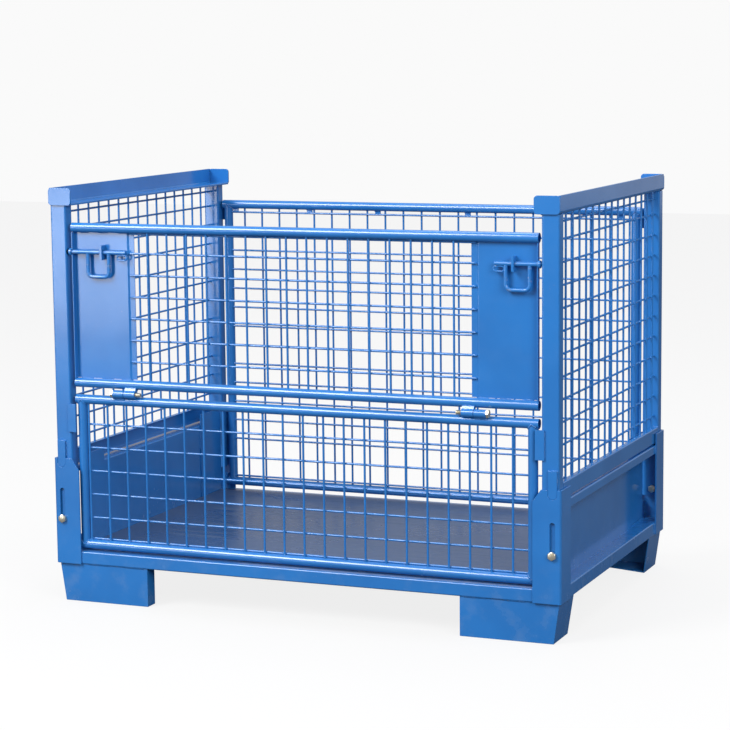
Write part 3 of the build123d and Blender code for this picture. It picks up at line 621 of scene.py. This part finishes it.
STITCH_DEPTH = 0.004
STITCH_SHARES = (0.18, 0.5, 0.82)
for node in ("upper_gate_left_panel", "upper_gate_right_panel"):
    panel_low, panel_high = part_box(node)
    y = panel_high.y - STITCH_DEPTH
    for share in STITCH_SHARES:
        middle = panel_low.x + share * (panel_high.x - panel_low.x)
        for z in (panel_low.z, panel_high.z):
            bead("upper_gate", (middle - STITCH / 2, y, z), (middle + STITCH / 2, y, z))
for low, high in solid_boxes("rear_wall_tabs"):
    bead("rear_wall", (low.x, low.y, high.z), (high.x, low.y, high.z))

dabs = {body: [] for body in MESHES}
for body, (uprights, crosses, across) in MESHES.items():
    for low, high in solid_boxes(uprights):
        middle = (low + high) / 2
        dabs[body] += [[Vector((middle.x, middle.y, low.z))], [Vector((middle.x, middle.y, high.z))]]
    for low, high in solid_boxes(crosses):
        middle = (low + high) / 2
        for end in (low, high):
            point = middle.copy()
            point[1 - across] = end[1 - across]
            dabs[body].append([point])
for seed, (body, lines) in enumerate(beads.items()):
    if not lines:
        continue
    mesh = grown(
        rippled_bead,
        line_mesh(lines),
        Radius=BEAD_RADIUS,
        Pitch=RIPPLE_PITCH,
        Seed=seed,
        Material=weld_paint,
    )
    weld_piece(body + "_weld_beads", body, mesh)
    if body in dabs:
        mesh = grown(
            squeezed_metal,
            line_mesh(dabs[body]),
            Radius=DAB_RADIUS,
            Flatness=DAB_FLATNESS,
            Uneven=DAB_UNEVEN,
            Seed=seed,
            Material=weld_paint,
        )
        weld_piece(body + "_wire_end_welds", body, mesh)

# ---------------------------------------------------------------- bolts and nuts
# Pivot bolts and hinge bolts are zinc plated with a yellow passivation: turned shanks,
# cut threads, and chamfered hexagons with a washer face.
ZINC_PALE = (0.80, 0.76, 0.64, 1)
ZINC_WARM = (0.64, 0.55, 0.36, 1)
HEX_STEPS = 48
CHAMFER_SHARE = 0.96
CHAMFER_SLOPE = 0.5
CROWN = 0.0003
CROWN_SHARE = 0.93
THREAD_PITCH = 0.0015
THREAD_CUT = 0.0008
THREAD_CHAMFER = 0.0006
BOLT_RADIUS = 0.005
HEAD_HEIGHT = 0.0064
NUT_HEIGHT = 0.0075
NUT_BELOW_END = 0.0009
PIVOT_THREAD = 0.018
HINGE_THREAD = 0.0125


def zinc():
    """Bright yellow-passivated zinc, a little blotchy, duller where it is handled."""
    finish = Finish("zinc_hardware")
    blotch = finish.noise(140.0, 4.0).between(0.35, 0.7)
    grime = finish.noise(420.0, 3.0).between(0.55, 0.8)
    finish.set(
        Base_Color=finish.mix(blotch, ZINC_PALE, ZINC_WARM),
        Metallic=0.85,
        Roughness=blotch * 0.12 + grime * 0.2 + 0.28,
    )
    finish.bump(finish.noise(1400.0, 2.0) * 0.00002, 1.0)
    return finish.material


def turned(shell, axis, start, profile, steps=32):
    """Turn (along, radius) points about an axis from a start point; a zero radius closes the shape."""
    along = Vector([1.0 if i == axis else 0.0 for i in range(3)])
    first = Vector([1.0 if i == (axis + 1) % 3 else 0.0 for i in range(3)])
    second = along.cross(first)
    rings = []
    for reach, radius in profile:
        centre = start + along * reach
        if radius == 0:
            rings.append([shell.verts.new(centre)] * steps)
            continue
        rings.append([
            shell.verts.new(centre + radius * (math.cos(math.tau * i / steps) * first
                            + math.sin(math.tau * i / steps) * second))
            for i in range(steps)
        ])
    for ring, following in zip(rings, rings[1:]):
        for i in range(steps):
            corners = [ring[i], ring[(i + 1) % steps], following[(i + 1) % steps], following[i]]
            shell.faces.new(list(dict.fromkeys(corners)))


def hexagon(shell, axis, start, height, across):
    """Chamfered hexagon from a start point, rising along the axis by a height that may be negative."""
    flat_radius = across / 2
    top_radius = flat_radius * CHAMFER_SHARE
    sign = math.copysign(1.0, height)
    rings = []
    for level in range(4):
        ring = []
        for i in range(HEX_STEPS):
            turn = math.tau * i / HEX_STEPS
            corner = (turn % (math.tau / 6)) - math.tau / 12
            radius = flat_radius / math.cos(corner)
            drop = CHAMFER_SLOPE * (radius - top_radius)
            reach = (0, abs(height) - drop, abs(height), abs(height) + CROWN)[level]
            radius = (radius, radius, top_radius, top_radius * CROWN_SHARE)[level]
            offset = Vector((0, 0, 0))
            offset[axis] = sign * reach
            offset[(axis + 1) % 3] = radius * math.cos(turn)
            offset[(axis + 2) % 3] = radius * math.sin(turn)
            ring.append(shell.verts.new(start + offset))
        rings.append(ring)
    for ring, following in zip(rings, rings[1:]):
        for i in range(HEX_STEPS):
            j = (i + 1) % HEX_STEPS
            shell.faces.new((ring[i], ring[j], following[j], following[i]))
    shell.faces.new(rings[0])
    shell.faces.new(rings[-1])


def threaded(start_reach, end_reach, radius):
    """Profile points of a cut thread from one reach to another, along either way."""
    sign = math.copysign(1.0, end_reach - start_reach)
    turns = int(abs(end_reach - start_reach) / THREAD_PITCH)
    points = []
    for i in range(turns):
        reach = start_reach + sign * i * THREAD_PITCH
        points += [(reach, radius - THREAD_CUT), (reach + sign * THREAD_PITCH / 2, radius)]
    return points


def hardware_piece(name, shell, nodes, material):
    """Close a shell of hardware, point its faces outwards and put it in place."""
    bmesh.ops.recalc_face_normals(shell, faces=shell.faces)
    mesh = bpy.data.meshes.new(name)
    shell.to_mesh(mesh)
    shell.free()
    mesh.shade_smooth()
    mesh.set_sharp_from_angle(angle=math.radians(32))
    return link_piece(name, mesh, nodes, material)


def headed_bolt(shell, axis, low, high, facing, thread):
    """Chamfered head and part-threaded shank filling a box; facing is 1 with the head at its low end."""
    middle = (low + high) / 2
    across = high.z - low.z
    outer, inner = (low[axis], high[axis]) if facing > 0 else (high[axis], low[axis])
    seat = middle.copy()
    seat[axis] = outer + facing * HEAD_HEIGHT
    hexagon(shell, axis, seat, -facing * (HEAD_HEIGHT - CROWN), across)
    reach = inner - seat[axis]
    thread_from = reach - facing * thread
    profile = [(0, 0), (0, BOLT_RADIUS), (thread_from, BOLT_RADIUS)]
    profile += threaded(thread_from, reach - facing * THREAD_CHAMFER, BOLT_RADIUS)
    profile += [(reach, BOLT_RADIUS - THREAD_CUT), (reach, 0)]
    turned(shell, axis, seat, profile)
    return middle, inner, across


zinc_finish = zinc()
for side in ("left", "right"):
    shell = bmesh.new()
    node = side + "_pivot_bolts"
    for low, high in solid_boxes(node):
        facing = 1.0 if low.y < 0 else -1.0
        nut, inner, across = headed_bolt(shell, 1, low, high, facing, PIVOT_THREAD)
        nut[1] = inner - facing * NUT_HEIGHT
        hexagon(shell, 1, nut, facing * (NUT_HEIGHT - NUT_BELOW_END), across)
    hardware_piece(node + "_plated", shell, [node], zinc_finish)

shell = bmesh.new()
for low, high in solid_boxes("hinge_bolts"):
    headed_bolt(shell, 0, low, high, 1.0 if low.x < 0 else -1.0, HINGE_THREAD)
hardware_piece("hinge_bolts_plated", shell, ["hinge_bolts"], zinc_finish)

# ---------------------------------------------------------------- slide bolts
# Each slide bolt is one bright-worn rod, with a D grip bent from thinner rod and welded under it
# and a small oval eye at its tail.
ROD_RADIUS = 0.005
TIP_CHAMFER = 0.0015
GRIP_RADIUS = 0.0045
GRIP_DROP = 0.061
GRIP_BEND = 0.012
GRIP_SPAN = 0.054
GRIP_FROM_TIP = {"left": 0.0505, "right": 0.0285}
EYE_LENGTH = 0.028
EYE_HEIGHT = 0.015
EYE_RADIUS = 0.002
EYE_OVERLAP = 0.001
TAIL_INSET = 0.004
TAIL_CHAMFER = 0.001
TAIL_SHARE = 0.8
EYE_STEPS = 12
BEND_STEPS = 10
ROD_WORN = (0.20, 0.27, 0.38, 1)


def rod_finish():
    """Blue paint rubbed thin along the rod, with pale sliding marks."""
    finish = Finish("bolt_paint")
    rubbed = finish.noise(90.0, 4.0, (0.25, 1, 1)).between(0.52, 0.72)
    finish.set(
        Base_Color=finish.mix(rubbed * 0.7, PAINT_BLUE, ROD_WORN),
        Roughness=rubbed * 0.12 + 0.24,
        Metallic=rubbed * 0.35,
        Coat_Weight=0.3,
        Coat_Roughness=0.12,
    )
    finish.bump(finish.noise(420.0, 1.0) * 0.00005 - rubbed * 0.00003, 1.0)
    return finish.material


def arc(centre, radius, start, turn, steps):
    """Points in X and Z round part of a circle."""
    points = []
    for i in range(steps + 1):
        angle = start + turn * i / steps
        points.append(centre + Vector((radius * math.cos(angle), 0, radius * math.sin(angle))))
    return points


def bent_rod(points, radius, closed):
    """Mesh of round rod along points."""
    curve = bpy.data.curves.new("rod", "CURVE")
    curve.dimensions = "3D"
    curve.bevel_depth = radius
    curve.bevel_resolution = 5
    curve.use_fill_caps = True
    spline = curve.splines.new("POLY")
    spline.points.add(len(points) - 1)
    for spot, point in zip(spline.points, points):
        spot.co = (*point, 1)
    spline.use_cyclic_u = closed
    carrier = bpy.data.objects.new("rod", curve)
    mesh = bpy.data.meshes.new_from_object(carrier)
    bpy.data.objects.remove(carrier)
    return mesh


bolt_finish = rod_finish()
for side, outward in (("left", -1.0), ("right", 1.0)):
    low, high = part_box(side + "_slide_bolt")
    rod_y = (low.y + high.y) / 2
    rod_z = high.z - ROD_RADIUS
    tip, tail = (low.x, high.x) if side == "left" else (high.x, low.x)
    length = abs(tail - tip)
    shell = bmesh.new()
    profile = [(0, 0), (0, ROD_RADIUS - TIP_CHAMFER), (-outward * TIP_CHAMFER, ROD_RADIUS)]
    rod_end = length - TAIL_INSET
    profile += [(-outward * (rod_end - TAIL_CHAMFER), ROD_RADIUS)]
    profile += [(-outward * rod_end, ROD_RADIUS * TAIL_SHARE), (-outward * rod_end, 0)]
    turned(shell, 0, Vector((tip, rod_y, rod_z)), profile)
    leg = tip - outward * GRIP_FROM_TIP[side]
    far_leg = leg - outward * GRIP_SPAN
    bend_z = rod_z - GRIP_DROP + GRIP_RADIUS + GRIP_BEND
    inner_side = sorted((leg, far_leg))
    right_bend = Vector((inner_side[1] - GRIP_BEND, rod_y, bend_z))
    left_bend = Vector((inner_side[0] + GRIP_BEND, rod_y, bend_z))
    path = [Vector((inner_side[1], rod_y, rod_z))]
    path += arc(right_bend, GRIP_BEND, 0, -math.pi / 2, BEND_STEPS)
    path += arc(left_bend, GRIP_BEND, -math.pi / 2, -math.pi / 2, BEND_STEPS)
    path += [Vector((inner_side[0], rod_y, rod_z))]
    shell.from_mesh(bent_rod(path, GRIP_RADIUS, False))
    eye_z = rod_z - EYE_HEIGHT / 2 - ROD_RADIUS + EYE_OVERLAP
    eye_middle = Vector((tail + outward * EYE_LENGTH / 2, rod_y, eye_z))
    eye_arm = EYE_HEIGHT / 2 - EYE_RADIUS
    half_flat = EYE_LENGTH / 2 - EYE_HEIGHT / 2
    eye = arc(eye_middle + Vector((half_flat, 0, 0)), eye_arm, -math.pi / 2, math.pi, EYE_STEPS)
    eye += arc(eye_middle - Vector((half_flat, 0, 0)), eye_arm, math.pi / 2, math.pi, EYE_STEPS)
    shell.from_mesh(bent_rod(eye, EYE_RADIUS, True))
    hardware_piece(side + "_slide_bolt_rod", shell, [side + "_slide_bolt"], bolt_finish)

# ---------------------------------------------------------------- surroundings
# A bright ground and a bright backdrop that only the camera sees at full strength, with a faint
# contact shadow. The container itself is lit by soft lamps, brightest from the left front.
BACKDROP = (0.956, 0.956, 0.956, 1)
ROOM_LIGHT = (0.46, 0.46, 0.47, 1)
GROUND_GREY = (0.07, 0.07, 0.07, 1)
GROUND_GLOW = (0.84, 0.84, 0.84, 1)
BLACK = (0, 0, 0, 1)
GROUND_HALF = 12
GROUND_Z = -0.0004
ground_mesh = bpy.data.meshes.new("ground")
corners = [(x * GROUND_HALF, y * GROUND_HALF, GROUND_Z) for x, y in ((-1, -1), (1, -1), (1, 1), (-1, 1))]
ground_mesh.from_pydata(corners, [], [(0, 1, 2, 3)])
ground = bpy.data.objects.new("ground", ground_mesh)
bpy.context.scene.collection.objects.link(ground)
ground_finish = Finish("ground")
seen = Channel(add_node(ground_finish.tree, "ShaderNodeLightPath").outputs["Is Camera Ray"])
glow = ground_finish.mix(seen, BLACK, GROUND_GLOW)
ground_finish.set(Base_Color=GROUND_GREY, Roughness=0.9, Emission_Color=glow, Emission_Strength=1.0)
ground_mesh.materials.append(ground_finish.material)

world = bpy.data.worlds.new("studio")
world.use_nodes = True
world_tree = world.node_tree
seen = add_node(world_tree, "ShaderNodeLightPath").outputs["Is Camera Ray"]
room = add_node(world_tree, "ShaderNodeMix", {"data_type": "RGBA"}, {0: seen, 6: ROOM_LIGHT, 7: BACKDROP})
world_tree.links.new(room.outputs[2], world_tree.nodes["Background"].inputs[0])
bpy.context.scene.world = world
bpy.context.scene.view_settings.view_transform = "Standard"


def softbox(name, place, target, size, power):
    """Large soft lamp at a place, facing a target."""
    data = bpy.data.lights.new(name, "AREA")
    data.shape = "RECTANGLE"
    data.size, data.size_y = size
    data.energy = power
    lamp = bpy.data.objects.new(name, data)
    lamp.location = place
    lamp.rotation_euler = (Vector(target) - Vector(place)).to_track_quat("-Z", "Y").to_euler()
    bpy.context.scene.collection.objects.link(lamp)


softbox("key", (-2.6, -4.2, 4.2), (0, 0, 0.4), (2.6, 2.6), 340)
softbox("sheen", (-3.2, -5.0, 0.45), (-0.4, 0, 0.7), (1.8, 0.9), 28)
softbox("fill", (3.8, -3.2, 2.6), (0, 0, 0.5), (2.4, 2.4), 135)
softbox("top", (0.3, 0.8, 4.6), (0, 0, 0.3), (3.2, 3.2), 105)
